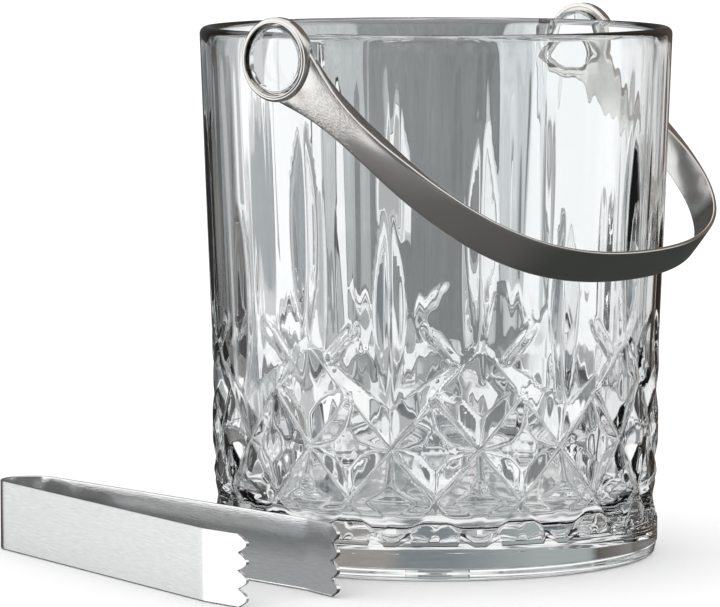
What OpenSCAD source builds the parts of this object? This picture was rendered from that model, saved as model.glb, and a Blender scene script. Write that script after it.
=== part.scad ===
// Pressed-glass ice bucket with a swinging steel handle and a pair of ice tongs.
// The origin is the centre of the bucket's base, +Z is up and the handle swings about the X axis.
// At rest the handle is folded down to the front, towards -Y, and the tongs stand on edge on the left.

/* [Glass bucket] */
// Outside diameter at the rim
rim_d = 130; // [126:1:136]
// Height from the base to the top of the rim
bucket_h = 145; // [142:1:150]
// Wall thickness at the rim, which is fully rounded
rim_wall = 4; // [3:0.5:5]
// Thickness of the solid glass base
base_t = 13; // [10:1:16]
// Outside diameter of the foot
foot_d = 122.8; // [118:0.2:123]

/* [Cut decoration] */
// Number of tall leaf flutes, with as many short ones between them
flute_count = 8; // [6:1:9]
// Width of a leaf flute at its middle
flute_w = 7.6; // [6:0.2:9]
// Depth of a leaf flute at its middle
flute_depth = 1.5; // [1:0.1:2]
// Height of one row of the diamond lattice
lattice_row = 14; // [12:0.5:14.5]
// Depth of the lattice cuts
lattice_depth = 1.2; // [0.8:0.1:1.4]

/* [Lugs] */
// Height of the lug axis, which is the axis that the handle swings about
axis_z = 138.2; // [137:0.2:139]
// Radius of the glass boss that carries the handle
boss_r = 8.9; // [8.4:0.01:8.92]
// Distance of the lug's flat pad from the middle plane
pad_x = 66.3; // [66:0.1:66.4]
// Width of the lug's flat pad
pad_w = 23; // [20:1:26]

/* [Handle] */
// Outer face of the strap's eye, measured from the middle plane
eye_face_x = 71; // [70.5:0.1:72]
// Distance from the lug axis to the top of the arch
arch_h = 88; // [80:0.5:95]
// Angle below horizontal at which the folded handle rests
rest_tilt = 39.5; // [38:0.5:40]
// Outside radius of the strap's round eye
eye_r = 11.2; // [11:0.1:11.6]
// Radius of the hole that the eyelet is pressed into
eye_bore_r = 10.2; // [10.1:0.1:10.3]
// Radius of the eyelet's hole, a running fit on the glass boss
eyelet_hole_r = 8.98; // [8.98:0.01:9.2]

/* [Tongs] */
// Height of the strip, which stands on edge
strip_h = 19; // [15:1:24]
// Thickness of the strip
strip_t = 1; // [0.8:0.1:1.4]
// Middle radius of the bow
bow_r = 7.8; // [6:0.1:9]
// Outward slope of each arm from the tongs' centre line
arm_splay = 4.4; // [3:0.1:6]
// Length of an arm from the bow to the bend at the jaw
arm_len = 110; // [90:1:120]
// Length of a jaw past the bend
jaw_len = 16; // [12:1:18]
// Inward turn of the jaw at the bend
jaw_turn = 10.5; // [6:0.5:12]
// Number of teeth on each jaw
tooth_count = 4; // [3:1:6]

/* [Hidden] */
$fn = 128;

glass_colour = [0.80, 0.85, 0.86, 0.45];
handle_colour = [0.62, 0.60, 0.57];
eyelet_colour = [0.78, 0.75, 0.70];
tongs_colour = [0.80, 0.81, 0.82];

// Glass: the outside runs from the foot to the rim, the inside from the base to the rim.
rim_r = rim_d / 2;
foot_r = foot_d / 2;
rim_round = rim_wall / 2;
foot_bevel = 1.2;
belly_z = 60;
belly_r = rim_r - 3.2;
shoulder_z = 100;
shoulder_r = rim_r - 1.6;
inside_belly_r = belly_r - 5;
inside_floor_r = belly_r - 7.3;
floor_round = 8;
outside = [[foot_r - foot_bevel, 0], [foot_r, foot_bevel], [belly_r, belly_z],
           [shoulder_r, shoulder_z], [rim_r, bucket_h - rim_round]];

// Flutes: tall leaves at azimuths where a wheel was pressed high, short ones halfway between.
flute_step = 360 / flute_count;
first_flute = 3.4;
tall_span = [62, 123];
short_span = [45, 99];
lattice_z = 20.7;
lattice_step = flute_step / 2;
lattice_len = 16.5;

// Lugs: a flat pad with rounded lower corners under the rim, and a round boss.
pad_top_z = bucket_h - rim_round;
pad_bottom_z = 131.5;
pad_corner = 5;
boss_root_x = 64.2;
boss_end_x = 70.8;
boss_bevel = 0.7;

// Handle: thickness and width of the strap against the distance from the lug axis.
eye_thick = 3.2;
eye_back_x = eye_face_x - eye_thick;
eyelet_face_x = eye_face_x + 0.3;
eyelet_recess_r = 9.55;
eyelet_lip = 1.2;
strap_edge = 0.3;
strap_steps = 30;
strap_width = [[0, 19.5], [6, 17.8], [10, 15.4], [14, 13.0], [19, 10.6], [24, 9.1], [30, 8.3],
               [38, 8.3], [48, 9.2], [60, 9.9], [76, 10.4], [90, 10.6]];
strap_thick = [[0, eye_thick], [15, eye_thick], [25, 4.7], [37, 4.7], [52, 2.2], [62, 1.4], [76, 1.2]];
arch_side = [eye_face_x - 4.7, arch_h * 0.693];
arch_crown = 57.6;

// Tongs: the strip runs round the bow, along the arms and into the toothed jaws.
tongs_at = [-67.8, 89.8, 0];
tongs_turn = -15.4;
leg_len = 8;
bow_steps = 36;
split_gap = 0.1;
tooth_depth = 3.6;
tooth_steps = 10;

// Outside radius of the plain glass at a height.
function glass_r(z) = lookup(z, [for (p = outside) [p[1], p[0]]]);

// Outline of the outside and inside of the bucket, turned about its axis.
module bucket_blank() {
    rotate_extrude()
        union() {
            polygon(concat([[0, 0]], outside, [[0, bucket_h - rim_round]]));
            translate([rim_r - rim_round, bucket_h - rim_round])
                circle(r = rim_round, $fn = 48);
        }
}

module bucket_hollow() {
    rotate_extrude()
        union() {
            polygon([[0, base_t], [inside_floor_r - floor_round, base_t],
                     [inside_floor_r, base_t + floor_round], [inside_belly_r, belly_z],
                     [rim_r - rim_wall, bucket_h - rim_round],
                     [rim_r - rim_wall, bucket_h + 5], [0, bucket_h + 5]]);
            translate([inside_floor_r - floor_round, base_t + floor_round])
                circle(r = floor_round, $fn = 64);
        }
}

// A double cone that cuts a pointed V of a given length, width and depth, with the bottom
// of the V running along Z at the origin and the wheel's centre on +X.
module wheel_cut(len, width, depth) {
    wheel_r = len * len / (8 * depth);
    reach = 1.6;
    for (side = [0, 1])
        mirror([0, side, 0])
            translate([wheel_r - depth, 0, 0])
                rotate([-90, 0, 0])
                    cylinder(r1 = wheel_r, r2 = wheel_r - reach * depth,
                             h = reach * width / 2, $fn = 180);
}

// Puts a cutter on the glass at an azimuth and height, square to the flared wall.
module on_glass(azimuth, z, span) {
    flare = atan((glass_r(z + span) - glass_r(z - span)) / (2 * span));
    rotate([0, 0, azimuth])
        translate([glass_r(z), 0, z])
            rotate([0, flare, 0])
                children();
}

module flutes() {
    for (i = [0 : flute_count - 1]) {
        on_glass(first_flute + i * flute_step, (tall_span[0] + tall_span[1]) / 2, 20)
            wheel_cut(tall_span[1] - tall_span[0], flute_w, flute_depth);
        on_glass(first_flute + (i + 0.5) * flute_step, (short_span[0] + short_span[1]) / 2, 18)
            wheel_cut(short_span[1] - short_span[0], flute_w, flute_depth);
    }
}

// Crossing diagonal cuts that leave a belt of diamonds above the foot.
module lattice() {
    lean = atan(foot_r * lattice_step / 2 * PI / 180 / lattice_row);
    for (i = [0 : 2 * flute_count - 1], side = [-1, 1])
        on_glass(first_flute + (i + 0.5) * lattice_step + side * lattice_step / 4,
                 lattice_z + lattice_row / 2, 5)
            rotate([side * lean, 0, 0])
                wheel_cut(lattice_len, lattice_depth * 3, lattice_depth);
}

// Pad and boss of one lug, on the +X side.
module lug() {
    translate([boss_root_x - 6, 0, 0])
        rotate([90, 0, 90])
            linear_extrude(pad_x - boss_root_x + 6)
                union() {
                    translate([-pad_w / 2, pad_bottom_z + pad_corner])
                        square([pad_w, pad_top_z - pad_bottom_z - pad_corner]);
                    translate([-pad_w / 2 + pad_corner, pad_bottom_z])
                        square([pad_w - 2 * pad_corner, pad_corner * 1.2]);
                    for (side = [-1, 1])
                        translate([side * (pad_w / 2 - pad_corner), pad_bottom_z + pad_corner])
                            circle(r = pad_corner, $fn = 48);
                }
    translate([boss_root_x, 0, axis_z])
        rotate([0, 90, 0]) {
            cylinder(r = boss_r, h = boss_end_x - boss_root_x - boss_bevel);
            translate([0, 0, boss_end_x - boss_root_x - boss_bevel])
                cylinder(r1 = boss_r, r2 = boss_r - boss_bevel, h = boss_bevel);
        }
}

module glass_bucket() {
    color(glass_colour)
        difference() {
            union() {
                bucket_blank();
                lug();
                mirror([1, 0, 0]) lug();
            }
            bucket_hollow();
            flutes();
            lattice();
        }
}

// Half of the arch's outer line, from the right eye to the crown, as a cubic curve.
function arch_point(t) =
    pow(1 - t, 3) * [eye_face_x, 0] + 3 * t * pow(1 - t, 2) * arch_side
    + 3 * t * t * (1 - t) * [arch_crown, arch_h] + t * t * t * [0, arch_h];
function arch_slope(t) =
    3 * pow(1 - t, 2) * (arch_side - [eye_face_x, 0])
    + 6 * t * (1 - t) * ([arch_crown, arch_h] - arch_side)
    + 3 * t * t * [-arch_crown, 0];
function turned_out(d) = [d[1], -d[0]] / norm(d);

// One bevelled section of the strap: place, outward direction, width and thickness.
function strap_section(p, out, w, t) = [
    for (q = [[0, w / 2 - strap_edge], [-strap_edge, w / 2], [strap_edge - t, w / 2],
              [-t, w / 2 - strap_edge], [-t, strap_edge - w / 2], [strap_edge - t, -w / 2],
              [-strap_edge, -w / 2], [0, strap_edge - w / 2]])
        [p[0] + q[0] * out[0], -p[1] - q[0] * out[1], q[1]]];
function half_section(t, side) =
    let (p = arch_point(t), out = turned_out(arch_slope(t)))
        strap_section([side * p[0], p[1]], [side * out[0], out[1]],
                      lookup(p[1], strap_width), lookup(p[1], strap_thick));

module strap_sweep() {
    rings = concat(
        [for (i = [0 : strap_steps]) half_section(i / strap_steps, 1)],
        [for (i = [strap_steps - 1 : -1 : 0]) half_section(i / strap_steps, -1)]);
    m = 8;
    last = len(rings) - 1;
    polyhedron(
        points = [for (ring = rings, p = ring) p],
        faces = concat(
            [[for (i = [0 : m - 1]) i]],
            [[for (i = [m - 1 : -1 : 0]) last * m + i]],
            [for (k = [0 : last - 1], i = [0 : m - 1])
                [k * m + i, (k + 1) * m + i, (k + 1) * m + (i + 1) % m, k * m + (i + 1) % m]]));
}

// Turns and lifts the flat arch so that it lies folded down about the lug axis.
module folded_handle() {
    translate([0, 0, axis_z])
        rotate([rest_tilt, 0, 0])
            children();
}

module handle_strap() {
    color(handle_colour)
        folded_handle()
            difference() {
                union() {
                    strap_sweep();
                    for (side = [0, 1])
                        mirror([side, 0, 0])
                            translate([eye_back_x, 0, 0])
                                rotate([0, 90, 0])
                                    cylinder(r = eye_r, h = eye_face_x - eye_back_x);
                }
                for (side = [0, 1])
                    mirror([side, 0, 0])
                        translate([eye_back_x - 5, 0, 0])
                            rotate([0, 90, 0])
                                cylinder(r = eye_bore_r, h = 15);
            }
}

// A short flanged tube: a lip at the back runs on the boss, the open front shows its end.
module eyelet() {
    color(eyelet_colour)
        folded_handle()
            translate([eye_back_x, 0, 0])
                rotate([0, 90, 0])
                    rotate_extrude()
                        polygon([[eyelet_hole_r, 0], [eye_bore_r, 0],
                                 [eye_bore_r, eyelet_face_x - eye_back_x - 0.2],
                                 [eye_bore_r - 0.2, eyelet_face_x - eye_back_x],
                                 [eyelet_recess_r + 0.2, eyelet_face_x - eye_back_x],
                                 [eyelet_recess_r, eyelet_face_x - eye_back_x - 0.2],
                                 [eyelet_recess_r, eyelet_lip], [eyelet_hole_r, eyelet_lip]]);
}

module handle_eyelet_left() {
    mirror([1, 0, 0])
        eyelet();
}

module handle_eyelet_right() {
    eyelet();
}

// Places the tongs beside the bucket, with the bow at the back and the jaws to the front.
module lying_tongs() {
    translate(tongs_at)
        rotate([0, 0, tongs_turn])
            children();
}

// Moves to a distance along one arm from where the bow ends; side is 1 or -1.
module along_arm(side, s) {
    rotate([0, 0, side * arm_splay])
        translate([side * bow_r, -s, 0])
            children();
}

// One edge of the bow seen from above: a leg's end, round the bow and back to the other leg's end.
function leg_end(side, r) =
    let (a = side * arm_splay)
        [side * r * cos(a) + leg_len * sin(a), side * r * sin(a) - leg_len * cos(a)];
function bow_edge(r) = concat(
    [leg_end(1, r)],
    [for (i = [0 : bow_steps])
        let (a = arm_splay + i * (180 - 2 * arm_splay) / bow_steps) r * [cos(a), sin(a)]],
    [leg_end(-1, r)]);
function reversed(list) = [for (i = [len(list) - 1 : -1 : 0]) list[i]];

module tongs_bow() {
    color(tongs_colour)
        lying_tongs()
            linear_extrude(strip_h)
                polygon(concat(bow_edge(bow_r + strip_t / 2),
                               reversed(bow_edge(bow_r - strip_t / 2))));
}

// Height outline of a jaw: rounded teeth with sharp notches between them.
module jaw_outline() {
    pitch = strip_h / tooth_count;
    polygon(concat([[0, 0]],
        [for (i = [0 : tooth_count * tooth_steps])
            let (z = i * strip_h / (tooth_count * tooth_steps))
                [jaw_len - tooth_depth * (1 - abs(sin(180 * z / pitch))), z]],
        [[0, strip_h]]));
}

module tongs_arm(side) {
    root = leg_len + split_gap + strip_t / 2;
    color(tongs_colour)
        lying_tongs() {
            along_arm(side, root)
                cylinder(r = strip_t / 2, h = strip_h, $fn = 32);
            along_arm(side, arm_len)
                translate([-strip_t / 2, 0, 0])
                    cube([strip_t, arm_len - root, strip_h]);
            along_arm(side, arm_len) {
                cylinder(r = strip_t / 2, h = strip_h, $fn = 32);
                rotate([0, 0, -side * jaw_turn])
                    translate([strip_t / 2, 0, 0])
                        rotate([0, 0, -90])
                            rotate([90, 0, 0])
                                linear_extrude(strip_t)
                                    jaw_outline();
            }
        }
}

module tongs_arm_outer() {
    tongs_arm(-1);
}

module tongs_arm_inner() {
    tongs_arm(1);
}

glass_bucket();
handle_strap();
handle_eyelet_left();
handle_eyelet_right();
tongs_bow();
tongs_arm_outer();
tongs_arm_inner();
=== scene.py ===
"""Looks of the ice bucket: pressed glass, a polished steel handle and brushed steel tongs."""
import math

import bpy
import bmesh
import numpy as np
from mathutils import Matrix, Vector


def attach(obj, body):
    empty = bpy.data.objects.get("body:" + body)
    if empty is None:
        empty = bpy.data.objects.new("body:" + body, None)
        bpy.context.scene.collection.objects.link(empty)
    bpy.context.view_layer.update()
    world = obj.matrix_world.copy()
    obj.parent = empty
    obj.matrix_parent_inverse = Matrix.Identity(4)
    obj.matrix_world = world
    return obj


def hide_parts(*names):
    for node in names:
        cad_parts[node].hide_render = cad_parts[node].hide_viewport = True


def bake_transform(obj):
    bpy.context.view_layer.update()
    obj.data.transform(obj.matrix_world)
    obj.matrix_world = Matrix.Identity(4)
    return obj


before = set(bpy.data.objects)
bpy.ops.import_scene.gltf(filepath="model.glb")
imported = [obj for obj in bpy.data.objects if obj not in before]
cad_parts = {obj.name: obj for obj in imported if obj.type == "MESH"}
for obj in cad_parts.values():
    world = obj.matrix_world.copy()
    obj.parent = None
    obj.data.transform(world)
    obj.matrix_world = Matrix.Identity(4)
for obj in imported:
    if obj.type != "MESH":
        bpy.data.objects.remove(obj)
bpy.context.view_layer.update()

MM = 0.001

# ---------------------------------------------------------------- sizes, in millimetres

# Glass outline outside and inside, close to the CAD node's, and the radius of its flat underside.
RIM_R, RIM_H, RIM_ROUND = 65.0, 145.0, 2.0
OUTSIDE = [(0.0, 60.2), (0.35, 60.7), (0.8, 60.85), (2.0, 61.05), (2.08, 61.15), (3.4, 61.35),
           (3.48, 61.55), (60.0, 61.8), (100.0, 63.4), (143.0, 65.0)]
STAND_R = 59.7
INSIDE = [(21.0, 54.5), (60.0, 56.8), (143.0, 61.0)]
FLOOR_Z, FLOOR_ROUND = 13.0, 8.0

# Cut pattern: azimuth of the first tall leaf, and the diamond lattice's half cell.
FIRST_LEAF = 3.4
LEAVES = 16
CELL_DEG, CELL_H = 11.25, 14.0
TOP_NODE_Z = 62.7
TALL_LEAF = (62.0, 123.0)
SHORT_LEAF = (45.0, 99.0)
LEAF_W, LEAF_DEPTH = 8.4, 1.4
GROOVE_W, GROOVE_DEPTH = 9 / 16, 1.8
PYRAMID_RISE = 0.7
# The zigzag's upper flank is a wedge: this share of the way down, it starts.
WEDGE_START = 0.632
# Depths of the level cut through the lowest crossings, of the pit over it, and of the short bars
# over the zigzag.
LEVEL_DEPTH, PIT_DEPTH, BAR_DEPTH = 0.7, 0.9, 0.75
# Ledges that end the pattern above the plain band: heights of the first one by degrees from
# a leaf's azimuth, and the two steps' heights and depths over it.
LEDGE_Z = 9.0
LEDGE = [(0.0, 0.0), (1.4, 0.0), (4.9, 2.1), (5.6, 0.2), (11.25, 0.2)]
LEDGE_STEPS = [(0.0, 0.0), (0.18, 0.4), (1.1, 0.45), (1.28, 0.85)]
LEDGE_TOP = 13.7
# Mesh of the glass: steps to a half cell of the lattice, columns over half a leaf, columns on each
# side that close in on a leaf, how far past a leaf's ends they do so, the least azimuth from a
# leaf's middle to its edge, the rows' pitch over the lattice and its upper end, and the rows of
# the plain band under the ledges.
CELL_STEPS, LEAF_COLUMNS, LEAF_REACH = 16, 5, 14
LEAF_MARGIN, LEAF_EDGE_DEG = 3.0, 1.1
LEAF_ROW, LEAF_ROWS_END = 1.4, 126.0
COLUMNS = LEAVES * 2 * CELL_STEPS
BAND_ROWS = [4.3, 5.6, 7.0, 8.2]
# Upright ripples inside: waves round the glass, phase, and drift per millimetre of height.
RIPPLES = [(29, 0.4, 0.021), (47, 1.9, -0.017), (64, 3.1, 0.026), (89, 5.2, -0.03),
           (118, 2.6, 0.02)]

# Lugs and handle, as on the CAD nodes.
AXIS_Z = 138.2
PAD_X, PAD_ROOT_X, PAD_W, PAD_BOTTOM, PAD_CORNER = 66.3, 62.2, 23.0, 131.5, 5.0
BOSS_R, BOSS_END_X, BOSS_ROOT_X = 8.9, 70.8, 64.2
EYE_BACK_X, EYE_FACE_X, EYE_R, EYE_BORE_R = 67.8, 71.0, 11.2, 10.2
EYELET_FACE_X, EYELET_HOLE_R, EYELET_RECESS_R, EYELET_LIP = 71.3, 8.98, 9.55, 1.2
ARCH_H, REST_TILT = 88.0, 39.5
ARCH = [(71.0, 0.0), (66.3, 0.693 * ARCH_H), (57.6, ARCH_H), (0.0, ARCH_H)]
STRAP_WIDTH = [(0, 19.5), (6, 17.8), (10, 15.4), (14, 13.0), (19, 10.6), (24, 9.1), (30, 8.3),
               (38, 8.3), (48, 9.2), (60, 9.9), (76, 10.4), (90, 10.6)]
STRAP_THICK = [(0, 3.2), (15, 3.2), (25, 4.7), (37, 4.7), (52, 2.2), (62, 1.4), (76, 1.2)]
# How far the strap's outer face falls away towards its edges.
STRAP_CAMBER = [(0, 0.9), (12, 0.85), (20, 0.55), (30, 0.38), (70, 0.1)]

# Tongs, as on the CAD nodes.
TONGS_AT, TONGS_TURN = (-67.8, 89.8), -15.4
STRIP_H, STRIP_T, BOW_R = 19.0, 1.0, 7.8
ARM_SPLAY, ARM_LEN, JAW_LEN, JAW_TURN = 4.4, 110.0, 16.0, 10.5
BEND_LEN = 3.0
TEETH, TOOTH_DEPTH = 4, 3.6


# ---------------------------------------------------------------- mesh helpers

def new_object(name, points, faces):
    """A mesh object from points in millimetres."""
    mesh = bpy.data.meshes.new(name)
    mesh.from_pydata([tuple(p) for p in np.asarray(points, float) * MM], [], faces)
    mesh.validate()
    mesh.update()
    obj = bpy.data.objects.new(name, mesh)
    bpy.context.scene.collection.objects.link(obj)
    return obj


def shade(obj, sharp_deg):
    """Smooth shading, with edges sharper than an angle left crisp."""
    obj.data.polygons.foreach_set("use_smooth", [True] * len(obj.data.polygons))
    obj.data.set_sharp_from_angle(angle=math.radians(sharp_deg))
    obj.data.update()


def apply_boolean(obj, other, operation):
    """Joins or cuts two closed meshes, and removes the second one."""
    mod = obj.modifiers.new("cut", "BOOLEAN")
    mod.object = other
    mod.operation = operation
    mod.solver = "MANIFOLD"
    depsgraph = bpy.context.evaluated_depsgraph_get()
    mesh = bpy.data.meshes.new_from_object(obj.evaluated_get(depsgraph))
    obj.modifiers.clear()
    obj.data = mesh
    bpy.data.objects.remove(other)


def turned(name, profile, steps, axis="Z"):
    """A closed solid of revolution from (radius, height) points; a point at radius 0 closes it."""
    points, rings, faces = [], [], []
    for r, z in profile:
        if r < 1e-9:
            rings.append([len(points)])
            points.append((0.0, 0.0, z))
            continue
        rings.append(list(range(len(points), len(points) + steps)))
        for i in range(steps):
            a = 2 * math.pi * i / steps
            points.append((r * math.cos(a), r * math.sin(a), z))
    pairs = list(zip(rings, rings[1:]))
    if len(rings[0]) > 1 and len(rings[-1]) > 1:
        pairs.append((rings[-1], rings[0]))
    for low, high in pairs:
        for i in range(steps):
            j = (i + 1) % steps
            face = [low[i % len(low)], low[j % len(low)], high[j % len(high)], high[i % len(high)]]
            faces.append([v for k, v in enumerate(face) if v not in face[:k]])
    points = np.array(points)
    if axis == "X":
        points = points[:, [2, 0, 1]]
    return new_object(name, points, faces)


def arc(cx, cy, r, start, end, steps):
    """Points of a circular arc, angles in degrees."""
    return [(cx + r * math.cos(math.radians(start + (end - start) * i / steps)),
             cy + r * math.sin(math.radians(start + (end - start) * i / steps)))
            for i in range(steps + 1)]


def prism(name, outline, axis, low, high):
    """A straight prism of a 2-D outline, along X (outline in Y, Z) or along Z (outline in X, Y)."""
    n = len(outline)
    if axis == "X":
        points = [(x, a, b) for x in (low, high) for a, b in outline]
    else:
        points = [(a, b, z) for z in (low, high) for a, b in outline]
    faces = [list(range(n))[::-1], list(range(n, 2 * n))]
    faces += [[i, (i + 1) % n, n + (i + 1) % n, n + i] for i in range(n)]
    return new_object(name, points, faces)


# ---------------------------------------------------------------- node materials

class Nodes:
    """A short way to write the node tree of a new material, or of a world."""

    def __init__(self, name, world=None):
        self.owner = world or bpy.data.materials.new(name)
        self.owner.use_nodes = True
        self.tree = self.owner.node_tree
        self.shader = self.tree.nodes.get("Principled BSDF")

    def add(self, kind, inputs=None, **settings):
        node = self.tree.nodes.new(kind)
        for key, value in settings.items():
            setattr(node, key, value)
        for key, value in (inputs or {}).items():
            if isinstance(value, bpy.types.NodeSocket):
                self.tree.links.new(value, node.inputs[key])
            else:
                node.inputs[key].default_value = value
        return node

    def set(self, **values):
        for key, value in values.items():
            socket = self.shader.inputs[key.replace("_", " ")]
            if isinstance(value, bpy.types.NodeSocket):
                self.tree.links.new(value, socket)
            else:
                socket.default_value = value

    def place(self, scale=(1, 1, 1), turn=(0, 0, 0)):
        """Object coordinates, turned and stretched."""
        where = self.add("ShaderNodeTexCoord")
        turned_to = self.add("ShaderNodeMapping", {"Vector": where.outputs["Object"]})
        turned_to.inputs["Rotation"].default_value = [math.radians(a) for a in turn]
        stretched = self.add("ShaderNodeMapping", {"Vector": turned_to.outputs[0]})
        stretched.inputs["Scale"].default_value = scale
        return stretched.outputs[0]

    def noise(self, vector, scale, detail=3.0, roughness=0.5):
        node = self.add("ShaderNodeTexNoise", {"Vector": vector, "Scale": scale,
                                               "Detail": detail, "Roughness": roughness})
        return node.outputs[0]

    def ramp(self, value, stops):
        """Maps 0..1 to colours or greys at the stops."""
        node = self.add("ShaderNodeValToRGB", {"Fac": value})
        ramp = node.color_ramp
        while len(ramp.elements) < len(stops):
            ramp.elements.new(0.5)
        for element, (position, colour) in zip(ramp.elements, stops):
            element.position = position
            grey = not hasattr(colour, "__len__")
            element.color = (colour, colour, colour, 1) if grey else (*colour, 1)
        return node.outputs[0]

    def mix(self, share, first, second):
        node = self.add("ShaderNodeMix", {0: share, 6: first, 7: second}, data_type="RGBA")
        return node.outputs[2]

    def bump(self, height, strength, distance):
        node = self.add("ShaderNodeBump", {"Height": height, "Strength": strength,
                                           "Distance": distance})
        return node.outputs[0]


def glass_material():
    """Clear pressed glass with slow upright waves from the mould."""
    n = Nodes("pressed_glass")
    slow = n.noise(n.place((1, 1, 0.12)), 90.0, 0.0)
    tint = n.ramp(slow, [(0.3, (0.975, 0.985, 0.985)), (0.7, (0.985, 0.992, 0.992))])
    n.set(Base_Color=tint, Roughness=0.0, IOR=1.52, Transmission_Weight=1.0,
          Normal=n.bump(slow, 0.5, 0.0003))
    return n.owner


def polished_steel(name, warm=0.0):
    """Polished steel; hand-finishing strokes run along the broad faces a little past the eyes."""
    n = Nodes(name)
    strokes = n.noise(n.place((10, 1.6, 10), (-REST_TILT, 0, 0)), 420.0, 2.0, 0.6)
    clouds = n.noise(n.place(), 60.0, 3.0)
    colour = n.ramp(clouds, [(0.3, (0.62 + warm, 0.605 + warm * 0.7, 0.58)),
                             (0.7, (0.67 + warm, 0.655 + warm * 0.7, 0.635))])
    rough = n.ramp(clouds, [(0.3, 0.13), (0.7, 0.17)])
    where = n.add("ShaderNodeTexCoord")
    from_axis = n.add("ShaderNodeMapping", {"Vector": where.outputs["Object"]})
    from_axis.inputs["Location"].default_value = (0, 0, -AXIS_Z * MM)
    from_axis.inputs["Scale"].default_value = (0, 1, 1)
    reach = n.add("ShaderNodeVectorMath", {0: from_axis.outputs[0]}, operation="LENGTH")
    reach = n.add("ShaderNodeMapRange", {0: reach.outputs["Value"], 2: 0.06})
    worked = n.ramp(reach.outputs[0], [(0.2, 0.05), (0.27, 0.4), (0.45, 0.4), (0.6, 0.02)])
    facing = n.add("ShaderNodeSeparateXYZ", {0: where.outputs["Normal"]})
    facing = n.add("ShaderNodeMath", {0: facing.outputs[0]}, operation="ABSOLUTE")
    broad = n.ramp(facing.outputs[0], [(0.5, 0.02), (0.8, 1.0)])
    depth = n.add("ShaderNodeMath", {0: worked, 1: broad}, operation="MULTIPLY")
    n.set(Base_Color=colour, Metallic=1.0, Roughness=rough,
          Normal=n.bump(strokes, depth.outputs[0], 0.0002))
    return n.owner


def brushed_steel(name):
    """Satin steel brushed along the tongs' strip."""
    n = Nodes(name)
    lines = n.place((14, 0.35, 14), (0, 0, -TONGS_TURN))
    grain = n.noise(lines, 240.0, 3.0, 0.55)
    wide = n.noise(n.place((6, 0.5, 6), (0, 0, -TONGS_TURN)), 60.0, 3.0)
    colour = n.ramp(grain, [(0.3, (0.72, 0.73, 0.735)), (0.7, (0.82, 0.83, 0.83))])
    rough = n.ramp(wide, [(0.3, 0.14), (0.7, 0.20)])
    n.set(Base_Color=colour, Metallic=1.0, Roughness=rough, Normal=n.bump(grain, 0.12, 0.0002))
    return n.owner


def use_material(obj, material):
    obj.data.materials.clear()
    obj.data.materials.append(material)


# ---------------------------------------------------------------- glass bucket

def lookup(table, value):
    xs, ys = zip(*table)
    return np.interp(value, xs, ys)


def leaf_shape(z, span):
    """1 at the middle of a leaf cut and 0 past its ends."""
    middle, half = (span[0] + span[1]) / 2, (span[1] - span[0]) / 2
    return np.clip(1 - ((z - middle) / half) ** 2, 0, 1)


def glass_rows():
    """Nominal heights of the outer mesh's rows over the ledges, lattice-aligned in the pattern."""
    count = int((TOP_NODE_Z - LEDGE_TOP) / (CELL_H / CELL_STEPS) + 0.5) + 9
    lattice = [LEDGE_TOP + CELL_H / CELL_STEPS * i for i in range(count)]
    leaves = list(np.arange(lattice[-1] + LEAF_ROW, LEAF_ROWS_END, LEAF_ROW))
    return lattice + leaves + [130.0, 135.0, 139.5]


def ledge_height(azimuth):
    """Height of the lowest ledge, which dips and peaks with the pattern above it."""
    off = np.abs((azimuth + CELL_DEG) % (2 * CELL_DEG) - CELL_DEG)
    return LEDGE_Z + lookup(LEDGE, off)


def glass_columns(z):
    """Azimuths past the first tall leaf of the columns at one height. Near a leaf they close in
    on it, so that its edge always lies on a column."""
    moved = np.arange(COLUMNS) * 360.0 / COLUMNS
    radius = lookup(OUTSIDE, z)
    for span, first in ((TALL_LEAF, 0), (SHORT_LEAF, 1)):
        shape = leaf_shape(z, span)
        if not span[0] - LEAF_MARGIN < z < span[1] + LEAF_MARGIN:
            continue
        edge = max(math.degrees(LEAF_W / 2 * shape / radius), LEAF_EDGE_DEG)
        past_end = min(z - span[0], span[1] - z)
        inside = min(past_end + LEAF_MARGIN, LEAF_MARGIN) / LEAF_MARGIN
        for leaf in range(first, LEAVES, 2):
            for k in range(-LEAF_REACH, LEAF_REACH + 1):
                size = abs(k) * 360.0 / COLUMNS
                if abs(k) <= LEAF_COLUMNS:
                    target = edge * abs(k) / LEAF_COLUMNS
                else:
                    share = (abs(k) - LEAF_COLUMNS) / (LEAF_REACH - LEAF_COLUMNS)
                    target = edge + share * (LEAF_REACH * 360.0 / COLUMNS - edge)
                shift = (target - size) * inside
                at = (leaf * 2 * CELL_STEPS + k) % COLUMNS
                moved[at] += math.copysign(shift, k) if k else 0
    return moved


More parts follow.
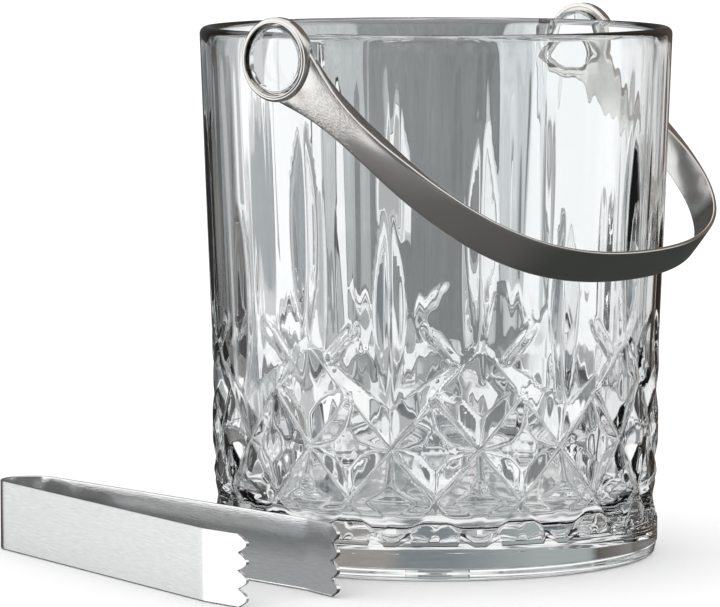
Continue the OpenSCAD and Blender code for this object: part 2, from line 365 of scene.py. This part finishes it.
def pattern_depth(azimuth, z):
    """How deep the mould's cuts go below the plain surface, in mm, and which way quads split."""
    a = (azimuth % 45.0) / CELL_DEG
    b = (TOP_NODE_Z - z) / CELL_H
    side = np.where(a > 2, 4 - a, a)
    to_down = (side - b + 1) % 2 - 1
    to_up = (side + b + 1) % 2 - 1
    down, up = np.abs(to_down), np.abs(to_up)
    edge_line = np.abs(side - b) < 1
    edge_depth = GROOVE_DEPTH * np.clip(0.15 + 0.425 * side, 0, 1)
    down_depth = np.where(edge_line, edge_depth, GROOVE_DEPTH)
    up_depth = np.where(side + b < 1, 0.15, 1) * GROOVE_DEPTH
    flank = np.maximum(down_depth * (1 - down / GROOVE_W), up_depth * (1 - up / GROOVE_W))
    # Ridges between two flanks are planed off: long facets sideways, short ones upright.
    share = np.where(to_down * to_up > 0, 0.78, 0.86)
    planed = np.minimum(down_depth, up_depth) * (1 - share * (down + up) / (2 * GROOVE_W))
    flank = np.maximum(flank, planed)
    cell = np.minimum(down, up)
    top = -PYRAMID_RISE * np.clip((cell - GROOVE_W) / (1 - GROOVE_W), 0, 1)
    inside = np.where(flank > 0, np.maximum(flank, top), top)
    # A level cut joins the lowest row of crossings, with a small pit over its middle.
    level = LEVEL_DEPTH * np.clip(1 - np.abs(b - 3) / 0.16, 0, 1)
    pit = PIT_DEPTH * np.clip(1 - np.abs(b - 2.68) / 0.2 - side / 0.25, 0, 1)
    inside = np.where(b > 2.2, np.maximum(np.maximum(inside, level), pit), inside)
    # Over the zigzag, each groove's upper flank is a wedge, with a short bar cut across it.
    start = WEDGE_START * side
    wedge = edge_depth * np.clip((b - start + 0.05) / (side - start + 0.05), 0, 1)
    bar = (BAR_DEPTH * np.clip(1 - np.abs(b + side - 0.87) / 0.2, 0, 1)
           * np.clip((side - b) / 0.3, 0, 1) * np.clip((1.7 - side + b) / 0.5, 0, 1))
    depth = np.where(b >= side - 1e-6, inside, np.maximum(wedge, bar))
    for span, first in ((TALL_LEAF, 0.0), (SHORT_LEAF, 22.5)):
        shape = leaf_shape(z, span)
        off = np.abs((azimuth - first + 22.5) % 45.0 - 22.5)
        half = np.degrees(LEAF_W / 2 * shape / lookup(OUTSIDE, z))
        v = np.where(half > 0, np.clip(1 - off / np.maximum(half, 1e-6), 0, 1), 0)
        depth = np.maximum(depth, LEAF_DEPTH * shape * v)
    # The glass stays sunk behind the ledges up to just under the lowest crossings.
    sunk = LEDGE_STEPS[-1][1] * np.clip((TOP_NODE_Z - 3 * CELL_H - z) / 3.0, 0, 1)
    return np.maximum(depth, depth * 0.7 + sunk), down < up


def inner_ripple(azimuth, z):
    """Faint upright ripples that the plunger left inside, in mm."""
    total = np.zeros_like(azimuth)
    for waves, phase, drift in RIPPLES:
        total += np.cos(np.radians(azimuth) * waves + phase + drift * z) * 0.9 / waves
    return total


def glass_bucket():
    """The whole glass as one closed mesh, in rings from the foot up, over the rim and down inside
    to the floor."""
    count = COLUMNS
    even = np.arange(count) * 360.0 / count
    rings, splits = [], []

    def add_ring(azimuth, z, r, split):
        turn = np.radians(azimuth + FIRST_LEAF)
        rings.append(np.stack([r * np.cos(turn), r * np.sin(turn), z], 1))
        splits.append(split)

    level = np.zeros(count)
    ledge = ledge_height(even)
    add_ring(even, level, level + STAND_R, level > 0)
    for z in [at for at, r in OUTSIDE if at < BAND_ROWS[0]] + BAND_ROWS:
        add_ring(even, level + z, lookup(OUTSIDE, z), level > 0)
    for rise, depth in LEDGE_STEPS:
        add_ring(even, ledge + rise, lookup(OUTSIDE, LEDGE_Z) - depth, level > 0)
    top_of_ledge = ledge + LEDGE_STEPS[-1][0]
    for part in (1 / 3, 2 / 3):
        z = top_of_ledge + (LEDGE_TOP - top_of_ledge) * part
        depth, split = pattern_depth(even, z)
        add_ring(even, z, lookup(OUTSIDE, z) - depth, split)
    for z in glass_rows():
        azimuth = glass_columns(z)
        depth, split = pattern_depth(azimuth, level + z)
        add_ring(azimuth, level + z, lookup(OUTSIDE, z) - depth, split)
    patterned = len(rings) - 1
    for r, z in arc(RIM_R - RIM_ROUND, RIM_H - RIM_ROUND, RIM_ROUND, 0, 180, 14):
        add_ring(even, level + z, level + r, level > 0)
    for z in np.linspace(139, 21, 24):
        fade = min(1.0, (141 - z) / 12, (z - 15) / 12)
        r = lookup(INSIDE, z) + fade * inner_ripple(even, z)
        add_ring(even, level + z, r, level > 0)
    floor_c = INSIDE[0][1] - FLOOR_ROUND
    lathe = arc(floor_c, FLOOR_Z + FLOOR_ROUND, FLOOR_ROUND, 0, -90, 7)[1:]
    for r, z in lathe + [(r, FLOOR_Z) for r in (38.0, 28.0, 18.0, 8.0)]:
        add_ring(even, level + z, level + r, level > 0)
    points = np.concatenate(rings + [[[0, 0, FLOOR_Z], [0, 0, 0]]])
    faces = []
    for k in range(len(rings) - 1):
        for i in range(count):
            j = (i + 1) % count
            a, b = k * count + i, k * count + j
            c, d = (k + 1) * count + j, (k + 1) * count + i
            if k >= patterned:
                faces.append((a, b, c, d))
            elif splits[k][i]:
                faces += [(a, b, d), (b, c, d)]
            else:
                faces += [(a, b, c), (a, c, d)]
    top, bottom = len(points) - 2, len(points) - 1
    last = (len(rings) - 1) * count
    for i in range(count):
        j = (i + 1) % count
        faces.append((last + i, last + j, top))
        faces.append((j, i, bottom))
    obj = new_object("bucket_glass", points, faces)
    for side in (1, -1):
        apply_boolean(obj, lug_pad(side), "UNION")
        apply_boolean(obj, lug_boss(side), "UNION")
    shade(obj, 58)
    return obj


def mirrored(obj, side):
    """Mirrors a mesh across the YZ plane when side is -1."""
    if side < 0:
        obj.data.transform(Matrix.Diagonal((-1, 1, 1, 1)))
        obj.data.flip_normals()
    return obj


def lug_pad(side):
    """Flat pad of a lug, with rounded lower corners; its root stays inside the wall."""
    half, top = PAD_W / 2, RIM_H - RIM_ROUND
    outline = arc(half - PAD_CORNER, PAD_BOTTOM + PAD_CORNER, PAD_CORNER, -90, 0, 8)
    outline += arc(half - 0.8, top - 0.8, 0.8, 0, 90, 3)
    outline += [(-y, z) for y, z in outline[::-1]]
    return mirrored(prism("lug_pad", outline, "X", PAD_ROOT_X, PAD_X), side)


def lug_boss(side):
    """Round boss that the handle hangs on, with a softly rounded end."""
    edge = arc(BOSS_R - 0.9, BOSS_END_X - 0.9, 0.9, 0, 90, 5)
    profile = [(0.0, BOSS_ROOT_X), (BOSS_R, BOSS_ROOT_X)] + edge + [(0.0, BOSS_END_X)]
    boss = turned("lug_boss", profile, 72, "X")
    boss.data.transform(Matrix.Translation((0, 0, AXIS_Z * MM)))
    return mirrored(boss, side)


# ---------------------------------------------------------------- handle

FOLD = (Matrix.Translation((0, 0, AXIS_Z * MM))
        @ Matrix.Rotation(math.radians(REST_TILT), 4, "X"))


def arch_point(t):
    """Point and outward direction of the arch's outer line, in the handle's own plane."""
    p0, p1, p2, p3 = [Vector(p) for p in ARCH]
    s = 1 - t
    point = s ** 3 * p0 + 3 * t * s * s * p1 + 3 * t * t * s * p2 + t ** 3 * p3
    slope = 3 * s * s * (p1 - p0) + 6 * t * s * (p2 - p1) + 3 * t * t * (p3 - p2)
    out = Vector((slope.y, -slope.x)).normalized()
    return point, out


def strap_outline(width, thick, edge, camber):
    """Section of the strap: distance outwards and across, with rounded corners."""
    w, points = width / 2, []
    for cx, cy, start in ((-edge, w - edge, 0), (edge - thick, w - edge, 90),
                          (edge - thick, edge - w, 180), (-edge, edge - w, 270)):
        points += arc(cx, cy, edge, start, start + 90, 4)
    points += [(0.0, (w - edge) * k / 4) for k in range(-3, 4)]
    return [(q - camber * (n / w) ** 2 if q > -thick / 2 else q, n) for q, n in points]


def handle_strap():
    """The strap, swept along the arch from eye to eye, with its two bored eyes."""
    steps = 72
    rings = []
    for i in range(2 * steps + 1):
        t = i / steps if i <= steps else 2 - i / steps
        side = 1 if i <= steps else -1
        point, out = arch_point(t)
        outline = strap_outline(lookup(STRAP_WIDTH, point.y), lookup(STRAP_THICK, point.y), 0.4,
                                lookup(STRAP_CAMBER, point.y))
        rings.append([(side * (point.x + q * out.x), -point.y - q * out.y, n)
                      for q, n in outline])
    m = len(rings[0])
    points = [p for ring in rings for p in ring]
    faces = [list(range(m))[::-1], [(len(rings) - 1) * m + i for i in range(m)]]
    for k in range(len(rings) - 1):
        for i in range(m):
            j = (i + 1) % m
            faces.append([k * m + i, k * m + j, (k + 1) * m + j, (k + 1) * m + i])
    obj = new_object("handle_strap_steel", points, faces)
    for side in (1, -1):
        edge, brow = 0.35, 0.8
        profile = [(0.0, EYE_BACK_X)]
        profile += arc(EYE_R - edge, EYE_BACK_X + edge, edge, -90, 0, 3)
        profile += arc(EYE_R - brow, EYE_FACE_X - brow, brow, 0, 90, 6)
        profile += [(0.0, EYE_FACE_X)]
        apply_boolean(obj, mirrored(turned("eye", profile, 96, "X"), side), "UNION")
    for side in (1, -1):
        bore = [(0.0, EYE_BACK_X - 5), (EYE_BORE_R, EYE_BACK_X - 5),
                (EYE_BORE_R, EYE_FACE_X + 5), (0.0, EYE_FACE_X + 5)]
        apply_boolean(obj, mirrored(turned("bore", bore, 96, "X"), side), "DIFFERENCE")
    obj.data.transform(FOLD)
    shade(obj, 32)
    return obj


def handle_eyelet(name, side):
    """The flanged tube in one of the strap's eyes."""
    edge = 0.16
    profile = [(EYELET_HOLE_R, EYE_BACK_X + edge), (EYELET_HOLE_R + edge, EYE_BACK_X),
               (EYE_BORE_R - edge, EYE_BACK_X), (EYE_BORE_R, EYE_BACK_X + edge)]
    profile += arc(EYE_BORE_R - 0.3, EYELET_FACE_X - 0.3, 0.3, 0, 90, 4)
    profile += arc(EYELET_RECESS_R + 0.3, EYELET_FACE_X - 0.3, 0.3, 90, 180, 4)
    lip = EYE_BACK_X + EYELET_LIP
    profile += [(EYELET_RECESS_R, lip + edge), (EYELET_RECESS_R - edge, lip),
                (EYELET_HOLE_R + edge, lip), (EYELET_HOLE_R, lip - edge)]
    obj = mirrored(turned(name, profile, 96, "X"), side)
    obj.data.transform(FOLD)
    shade(obj, 32)
    return obj


# ---------------------------------------------------------------- tongs

TONGS_PLACE = (Matrix.Translation((TONGS_AT[0] * MM, TONGS_AT[1] * MM, 0))
               @ Matrix.Rotation(math.radians(TONGS_TURN), 4, "Z"))


def strip_line():
    """Middle line of half the strip, from the top of the bow to the jaw's tip, on the +X side,
    as (x, y) points with the direction across the strip."""
    line = []
    for i in range(25):
        a = math.radians(90 + (ARM_SPLAY - 90) * i / 24)
        line.append((BOW_R * math.cos(a), BOW_R * math.sin(a), math.cos(a), math.sin(a)))
    splay = math.radians(ARM_SPLAY)
    x0, y0, nx, ny = line[-1]
    for s in list(np.linspace(0, ARM_LEN - BEND_LEN / 2, 60))[1:]:
        line.append((x0 + s * math.sin(splay), y0 - s * math.cos(splay), nx, ny))
    x, y = line[-1][:2]
    for i in range(1, 7):
        turn = splay - math.radians(JAW_TURN) * i / 6
        x += BEND_LEN / 6 * math.sin(turn)
        y -= BEND_LEN / 6 * math.cos(turn)
        line.append((x, y, math.cos(turn), math.sin(turn)))
    for s in range(1, 25):
        line.append((x + s * (JAW_LEN - BEND_LEN / 2) / 24 * math.sin(turn),
                     y - s * (JAW_LEN - BEND_LEN / 2) / 24 * math.cos(turn),
                     math.cos(turn), math.sin(turn)))
    return line


def tongs_half(name, side):
    """Half of the tongs' strip with its teeth and rounded edges."""
    line = strip_line()
    edge = 0.22
    half = STRIP_T / 2
    outline = []
    for cx, cy, start in ((half - edge, STRIP_H - edge, 0), (edge - half, STRIP_H - edge, 90),
                          (edge - half, edge, 180), (half - edge, edge, 270)):
        outline += arc(cx, cy, edge, start, start + 90, 3)
    rings = [[(x + q * nx, y + q * ny, z) for q, z in outline] for x, y, nx, ny in line]
    m = len(outline)
    points = [p for ring in rings for p in ring]
    faces = [list(range(m)), [(len(rings) - 1) * m + i for i in range(m)][::-1]]
    for k in range(len(rings) - 1):
        for i in range(m):
            j = (i + 1) % m
            faces.append([k * m + i, (k + 1) * m + i, (k + 1) * m + j, k * m + j])
    obj = new_object(name, points, faces)
    apply_boolean(obj, jaw_cutter(line), "DIFFERENCE")
    if side < 0:
        obj.data.transform(Matrix.Diagonal((-1, 1, 1, 1)))
        obj.data.flip_normals()
    obj.data.transform(TONGS_PLACE)
    shade(obj, 32)
    return obj


def jaw_cutter(line):
    """Solid past the toothed edge of the jaw: rounded teeth with sharp notches between them."""
    x, y, nx, ny = line[-1]
    ax, ay = ny, -nx
    pitch = STRIP_H / TEETH
    edge_line = []
    for i in range(TEETH * 12 + 1):
        z = -0.5 + (STRIP_H + 1) * i / (TEETH * 12)
        back = TOOTH_DEPTH * (1 - abs(math.sin(math.pi * z / pitch)))
        edge_line.append((-back, z))
    outline = edge_line + [(6, STRIP_H + 0.5), (6, -0.5)]
    n = len(outline)
    points = [(x + s * ax + q * nx, y + s * ay + q * ny, z) for q in (-3, 3) for s, z in outline]
    faces = [list(range(n)), [n + i for i in range(n)][::-1]]
    faces += [[i, n + i, n + (i + 1) % n, (i + 1) % n] for i in range(n)]
    cutter = new_object("jaw_cutter", points, faces)
    bm = bmesh.new()
    bm.from_mesh(cutter.data)
    bmesh.ops.recalc_face_normals(bm, faces=bm.faces)
    bm.to_mesh(cutter.data)
    bm.free()
    return cutter


def in_row(x, y, z=0.0):
    """A point of the tongs' own frame, in millimetres, as a point of the row frame."""
    return tuple(TONGS_PLACE @ Vector((x * MM, y * MM, z * MM)))


# ---------------------------------------------------------------- stage, lights and camera

VIEW_TURN = 52.85
CAM_BACK, CAM_HEIGHT = 1.36117, 0.19932
CAM_YAW, CAM_PITCH = -0.879, 5.501
SENSOR_MM, LENS_MM = 36.0, 247.22


def add_camera():
    """The camera, in front of the object and a little above the rim, aimed slightly down."""
    data = bpy.data.cameras.new("camera")
    data.sensor_width = SENSOR_MM
    data.lens = LENS_MM
    data.clip_start = 0.05
    data.dof.use_dof = False
    obj = bpy.data.objects.new("camera", data)
    bpy.context.scene.collection.objects.link(obj)
    turn = Matrix.Rotation(math.radians(-VIEW_TURN), 4, "Z")
    place = Matrix.Translation((0, -CAM_BACK, CAM_HEIGHT))
    aim = (Matrix.Rotation(math.radians(-CAM_YAW), 4, "Z")
           @ Matrix.Rotation(math.radians(90 - CAM_PITCH), 4, "X"))
    obj.matrix_world = turn @ place @ aim
    bpy.context.scene.camera = obj


def flat_material(name, colour, glow=0.0):
    n = Nodes(name)
    n.set(Base_Color=(*colour, 1), Roughness=0.9)
    if glow:
        n.set(Base_Color=(0, 0, 0, 1), Emission_Color=(*colour, 1), Emission_Strength=glow)
        n.set(Specular_IOR_Level=0.0)
    return n.owner


def stage_object(name, points, faces, material, hidden_from):
    """A flat object of the studio, from points in metres, that some kinds of ray don't see."""
    mesh = bpy.data.meshes.new(name)
    mesh.from_pydata(points, [], faces)
    obj = bpy.data.objects.new(name, mesh)
    bpy.context.scene.collection.objects.link(obj)
    use_material(obj, material)
    for kind in hidden_from:
        setattr(obj, "visible_" + kind, False)
    return obj


def add_floor():
    """The plain pale floor. Glass and steel see the studio's table in its place."""
    s = 6.0
    floor = stage_object("floor", [(-s, -s, 0), (s, -s, 0), (s, s, 0), (-s, s, 0)], [(0, 1, 2, 3)],
                         flat_material("floor", (0.95, 0.95, 0.95)), ("glossy", "transmission"))
    floor.location.z = -0.0002


# The studio round the object, as seen in reflections and through the glass. Each table by azimuth
# starts from the direction behind the object, in degrees growing to the right, and each table by
# elevation is in degrees over the horizon.
DARK, DIM, LIT = 0.16, 0.36, 1.0
TEAL, BROWN, UMBER = (0.20, 0.225, 0.235), (0.20, 0.155, 0.12), (0.08, 0.07, 0.06)
BEIGE, PALE_TEAL = (0.30, 0.285, 0.27), (0.37, 0.41, 0.405)
ROOM_GLOW, CEILING_GLOW, STRIP_GLOW = 1.25, 1.2, 1.1

# Through the glass: panels by azimuth, over a mottled table and under a mottled pale ceiling.
STUDIO_ROUND = [(-180, DARK), (-135, DARK), (-122, 1.5), (-66, 1.6), (-56, 0.2), (-34, UMBER),
                (-30, TEAL), (-18, TEAL), (-15, 0.5), (-9.8, 0.5), (-8.5, LIT), (11, LIT),
                (12, DIM), (14.5, DIM),
                (16, LIT), (30, 0.85), (34, TEAL), (41, TEAL), (45, 0.8), (84, 0.9),
                (92, 0.2), (180, DARK)]
STUDIO_TONE = (0.985, 0.995, 1.0, 1)
TABLE_BELOW = [(-90, 0.0), (-13, 0.0), (-9, 1.0), (90, 1.0)]
CEILING_ABOVE = [(-90, 0.0), (8, 0.0), (11, 1.0), (90, 1.0)]
MOTTLE_SCALE = 9.0
TABLE_MOTTLE = [(0.40, (0.07, 0.08, 0.085)), (0.47, (0.26, 0.28, 0.29)),
                (0.55, (0.36, 0.37, 0.37)), (0.60, (0.95, 0.95, 0.95))]
CEILING_MOTTLE = [(0.38, (0.16, 0.17, 0.18)), (0.44, (0.6, 0.6, 0.6)), (0.52, (1.0, 1.0, 1.0))]
# The bright panel on the left reaches lower than the others: where, and by how many degrees.
LOW_WINDOW = [(-180, 0.0), (-128, 0.0), (-120, 1.0), (-62, 1.0), (-54, 0.0)]
LOW_PANEL_DEG = 13
# A low band all round, which the thick base shows, and its tones.
LOW_BAND = [(-90, 0.0), (5, 0.0), (6, 1.0), (15, 1.0), (18, 0.0), (90, 0.0)]
STUDIO_LOW = [(-180, 0.2), (-60, 0.2), (-35, UMBER), (-32, PALE_TEAL), (-18, PALE_TEAL), (-2, TEAL),
              (5, TEAL), (8, BEIGE), (30, BEIGE), (60, 0.2), (180, 0.2)]
# A dark patch high on the right, which the handle's upper edge shows through the rim.
HIGH_DARK = [(-90, 0.0), (24, 0.0), (28, 1.0), (50, 1.0), (54, 0.0)]
HIGH_DARK_ROUND = [(-180, 0.0), (18, 0.0), (22, 1.0), (56, 1.0), (60, 0.0)]
# A low white strip under the low band, which the foot shows.
LOW_STRIP = [(-90, 0.0), (0.4, 0.0), (1.2, 1.0), (5.0, 1.0), (5.8, 0.0)]
LOW_STRIP_ROUND = [(-180, 0.0), (-56, 0.0), (-50, 1.0), (50, 1.0), (56, 0.0)]

# For the steel: panels by azimuth over a table, whose glow on the left grows with elevation, and
# how much of the left side's table counts, by azimuth.
STEEL_ROUND = [(-180, DARK), (-135, DARK), (-126, 1.5), (-70, 1.55), (-65, 0.95), (-57, 0.92),
               (-53, 0.2), (-34, UMBER), (-30, 0.1), (12, 0.1), (20, BROWN), (56, BROWN),
               (60, 0.9), (84, 0.9), (92, 0.2), (180, DARK)]
STEEL_UP = [(-90, 0.0), (-11.6, 0.0), (-9.4, 1.0), (90, 1.0)]
TABLE_GLOW = (0.064, 0.069, 0.066, 1)
TABLE_LEFT = [(-90, 0.10), (-61, 0.134), (-46, 0.16), (-32, 0.175), (-21, 0.25), (-13, 0.33)]
TABLE_SIDE = [(-180, 1.0), (-100, 1.0), (-85, 0.0), (80, 0.0), (150, 1.0), (180, 1.0)]
# The softbox on the left hangs lower than the other panels, and the white ceiling ends lower
# everywhere but on the right.
LOW_PANEL = [(-180, 0.0), (-108, 0.0), (-102, 1.0), (-50, 1.0), (-44, 0.0)]
OVERHEAD = [(-90, 0.0), (50, 0.0), (58, 1.0), (90, 1.0)]
LOW_CEILING, LOW_CEILING_DEG = [(-180, 1.0), (10, 1.0), (20, 0.0), (60, 0.0), (70, 1.0)], 25

# A card behind the bucket, in metres, and its tones from its left edge to its right one, at its
# top and lower down, which blend between two heights over its middle.
CARD_W, CARD_H, CARD_BACK, CARD_SIDE, CARD_TOP_Z = 0.171, 0.60, 1.0, -0.0075, 0.098
CARD_FADE = (0.19, 0.25)
CARD_TOP = [(0.0, 0.03), (0.018, 0.03), (0.024, 0.60), (0.27, 0.56), (0.29, 0.31), (0.5, 0.29),
            (0.73, 0.265), (0.765, 0.22), (0.785, 0.24), (0.80, 0.65), (0.985, 0.9), (1.0, 0.1)]
CARD_LOW = [(0.0, 0.03), (0.018, 0.03), (0.024, 0.50), (0.27, 0.45), (0.31, 0.25), (0.77, 0.23),
            (0.80, 0.55), (1.0, 0.75)]
CARD_TINT = (0.96, 1.0, 1.015, 1)
# A ring of board on the floor: its radii in metres, and its tones.
BOARD_R = (0.115, 0.045)
BOARD_MOTTLE = [(0.42, (0.22, 0.24, 0.25)), (0.56, (0.94, 0.94, 0.94))]


def backdrop_card():
    """A card in bands of grey behind the bucket, seen only through the glass, with soft upright
    streaks."""
    w, h = CARD_W / 2, CARD_H / 2
    n = Nodes("grey_card")
    axes = n.add("ShaderNodeSeparateXYZ", {0: n.place()})
    across = n.add("ShaderNodeMapRange", {0: axes.outputs[0], 1: -w, 2: w}).outputs[0]
    upwards = n.add("ShaderNodeMapRange", {0: axes.outputs[2], 1: CARD_FADE[0], 2: CARD_FADE[1]})
    bands = n.mix(upwards.outputs[0], n.ramp(across, CARD_LOW), n.ramp(across, CARD_TOP))
    streaks = n.noise(n.place((1, 1, 0.06)), 260.0, 3.0, 0.6)
    tone = n.add("ShaderNodeMix", {0: 1.0, 6: n.ramp(streaks, [(0.3, 0.86), (0.7, 1.1)]), 7: bands},
                 data_type="RGBA", blend_type="MULTIPLY").outputs[2]
    tone = n.add("ShaderNodeMix", {0: 1.0, 6: tone, 7: CARD_TINT}, data_type="RGBA",
                 blend_type="MULTIPLY").outputs[2]
    n.set(Base_Color=(0, 0, 0, 1), Emission_Color=tone, Emission_Strength=1.0,
          Specular_IOR_Level=0.0)
    card = stage_object("grey_card", [(-w, 0, -h), (w, 0, -h), (w, 0, h), (-w, 0, h)],
                        [(0, 1, 2, 3)], n.owner, ("camera", "diffuse", "shadow", "glossy"))
    card.matrix_world = (Matrix.Rotation(math.radians(-VIEW_TURN), 4, "Z")
                         @ Matrix.Translation((CARD_SIDE, CARD_BACK, CARD_TOP_Z - h)))


def white_board():
    """A mottled white ring under and round the bucket, as the glass shows the floor."""
    steps = 64
    ring = [(r * math.cos(2 * math.pi * i / steps), r * math.sin(2 * math.pi * i / steps), 0)
            for r in BOARD_R for i in range(steps)]
    faces = [(i, (i + 1) % steps, steps + (i + 1) % steps, steps + i) for i in range(steps)]
    n = Nodes("white_board")
    tone = n.ramp(n.noise(n.place(), 70.0, 1.0), BOARD_MOTTLE)
    n.set(Base_Color=(0, 0, 0, 1), Emission_Color=tone, Emission_Strength=1.0,
          Specular_IOR_Level=0.0)
    board = stage_object("white_board", ring, faces, n.owner,
                         ("camera", "diffuse", "shadow", "glossy"))
    board.location.z = -0.0001


def shaded_gap():
    """Painted shade: a dim glowing grey sheet on the floor between the tongs' arms, seen only in
    reflections. It stands in for the arms' shadow there, so the floor is darker in the arms'
    reflections.
    """
    outline = [(7.0, 0.0), (-7.0, 0.0), (-15.0, -110.0), (-13.0, -127.0), (13.0, -127.0),
               (15.0, -110.0)]
    stage_object("shaded_gap", [in_row(x, y, 0.05) for x, y in outline], [range(len(outline))],
                 flat_material("shaded_gap", (0.4, 0.41, 0.41), 1.0),
                 ("camera", "diffuse", "shadow", "transmission"))


def ramp_stops(table, low, high):
    """A table's values as stops between 0 and 1."""
    return [((at - low) / (high - low), value) for at, value in table]


def add_world():
    """White to the camera and the floor; a studio of light and dark panels to glass and steel."""
    n = Nodes("studio", bpy.data.worlds.new("studio"))
    n.tree.nodes.clear()
    bpy.context.scene.world = n.owner
    where = n.add("ShaderNodeTexCoord")
    turned_to = n.add("ShaderNodeVectorRotate", {"Vector": where.outputs["Generated"],
                      "Angle": math.radians(VIEW_TURN)}, rotation_type="Z_AXIS")
    axes = n.add("ShaderNodeSeparateXYZ", {0: turned_to.outputs[0]})
    turn = n.add("ShaderNodeMath", {0: axes.outputs[0], 1: axes.outputs[1]}, operation="ARCTAN2")
    share = n.add("ShaderNodeMapRange", {0: turn.outputs[0], 1: -math.pi, 2: math.pi})
    rise = n.add("ShaderNodeMath", {0: axes.outputs[2]}, operation="ARCSINE")
    rise = n.add("ShaderNodeMapRange", {0: rise.outputs[0], 1: -math.pi / 2, 2: math.pi / 2})
    round_it = n.ramp(share.outputs[0], ramp_stops(STUDIO_ROUND, -180, 180))
    toned = n.add("ShaderNodeMix", {6: round_it, 7: STUDIO_TONE, 0: 1.0}, data_type="RGBA",
                  blend_type="MULTIPLY")
    path = n.add("ShaderNodeLightPath")

    def raised(table, degrees):
        """Elevation, moved up by some degrees at the azimuths where the table says so."""
        share_of = n.ramp(share.outputs[0], ramp_stops(table, -180, 180))
        return n.add("ShaderNodeMath", {0: share_of, 1: degrees / 180, 2: rise.outputs[0]},
                     operation="MULTIPLY_ADD").outputs[0]

    def patch(by_rise, by_turn):
        """1 within a patch of the studio, given by elevation and by azimuth."""
        return n.add("ShaderNodeMath", {0: n.ramp(rise.outputs[0], ramp_stops(by_rise, -90, 90)),
                     1: n.ramp(share.outputs[0], ramp_stops(by_turn, -180, 180))},
                     operation="MULTIPLY").outputs[0]

    table = n.mix(n.ramp(share.outputs[0], ramp_stops(TABLE_SIDE, -180, 180)), TABLE_GLOW,
                  n.ramp(rise.outputs[0], ramp_stops(TABLE_LEFT, -90, 90)))
    glossy = n.mix(n.ramp(raised(LOW_PANEL, LOW_PANEL_DEG), ramp_stops(STEEL_UP, -90, 90)),
                   table, n.ramp(share.outputs[0], ramp_stops(STEEL_ROUND, -180, 180)))
    ceiling = n.ramp(raised(LOW_CEILING, LOW_CEILING_DEG), ramp_stops(OVERHEAD, -90, 90))
    glossy = n.mix(ceiling, glossy, (CEILING_GLOW,) * 3 + (1,))
    mottle = n.noise(turned_to.outputs[0], MOTTLE_SCALE, 2.0)
    through = n.mix(n.ramp(raised(LOW_WINDOW, LOW_PANEL_DEG), ramp_stops(TABLE_BELOW, -90, 90)),
                    n.ramp(mottle, TABLE_MOTTLE), toned.outputs[2])
    through = n.mix(n.ramp(rise.outputs[0], ramp_stops(CEILING_ABOVE, -90, 90)), through,
                    n.ramp(mottle, CEILING_MOTTLE))
    through = n.mix(n.ramp(rise.outputs[0], ramp_stops(LOW_BAND, -90, 90)), through,
                    n.ramp(share.outputs[0], ramp_stops(STUDIO_LOW, -180, 180)))
    through = n.mix(patch(HIGH_DARK, HIGH_DARK_ROUND), through, (*UMBER, 1))
    through = n.mix(patch(LOW_STRIP, LOW_STRIP_ROUND), through, (STRIP_GLOW,) * 3 + (1,))
    studio = n.mix(path.outputs["Is Transmission Ray"], glossy, through)
    seen = n.add("ShaderNodeMath", {0: path.outputs["Is Glossy Ray"],
                                    1: path.outputs["Is Transmission Ray"]}, operation="MAXIMUM")
    colour = n.mix(seen.outputs[0], (ROOM_GLOW,) * 3 + (1,), studio)
    back = n.add("ShaderNodeBackground", {0: colour})
    out = n.add("ShaderNodeOutputWorld")
    n.tree.links.new(back.outputs[0], out.inputs[0])


def add_stage():
    add_floor()
    backdrop_card()
    white_board()
    shaded_gap()
    add_world()
    bpy.context.scene.view_settings.view_transform = "Standard"


# ---------------------------------------------------------------- build

add_camera()
add_stage()

glass = glass_bucket()
use_material(glass, glass_material())
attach(glass, "bucket")
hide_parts("glass_bucket")

steel = polished_steel("handle_steel")
strap = handle_strap()
use_material(strap, steel)
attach(strap, "handle")
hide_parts("handle_strap")

eyelet_steel = polished_steel("eyelet_steel", 0.01)
for end, side in (("left", -1), ("right", 1)):
    eyelet = handle_eyelet("eyelet_tube_" + end, side)
    use_material(eyelet, eyelet_steel)
    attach(eyelet, "handle")
    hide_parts("handle_eyelet_" + end)

brushed = brushed_steel("tongs_steel")
for name, side, nodes in (("outer", -1, ("tongs_arm_outer", "tongs_bow")),
                          ("inner", 1, ("tongs_arm_inner",))):
    half = tongs_half("tongs_strip_" + name, side)
    use_material(half, brushed)
    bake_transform(half)
    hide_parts(*nodes)
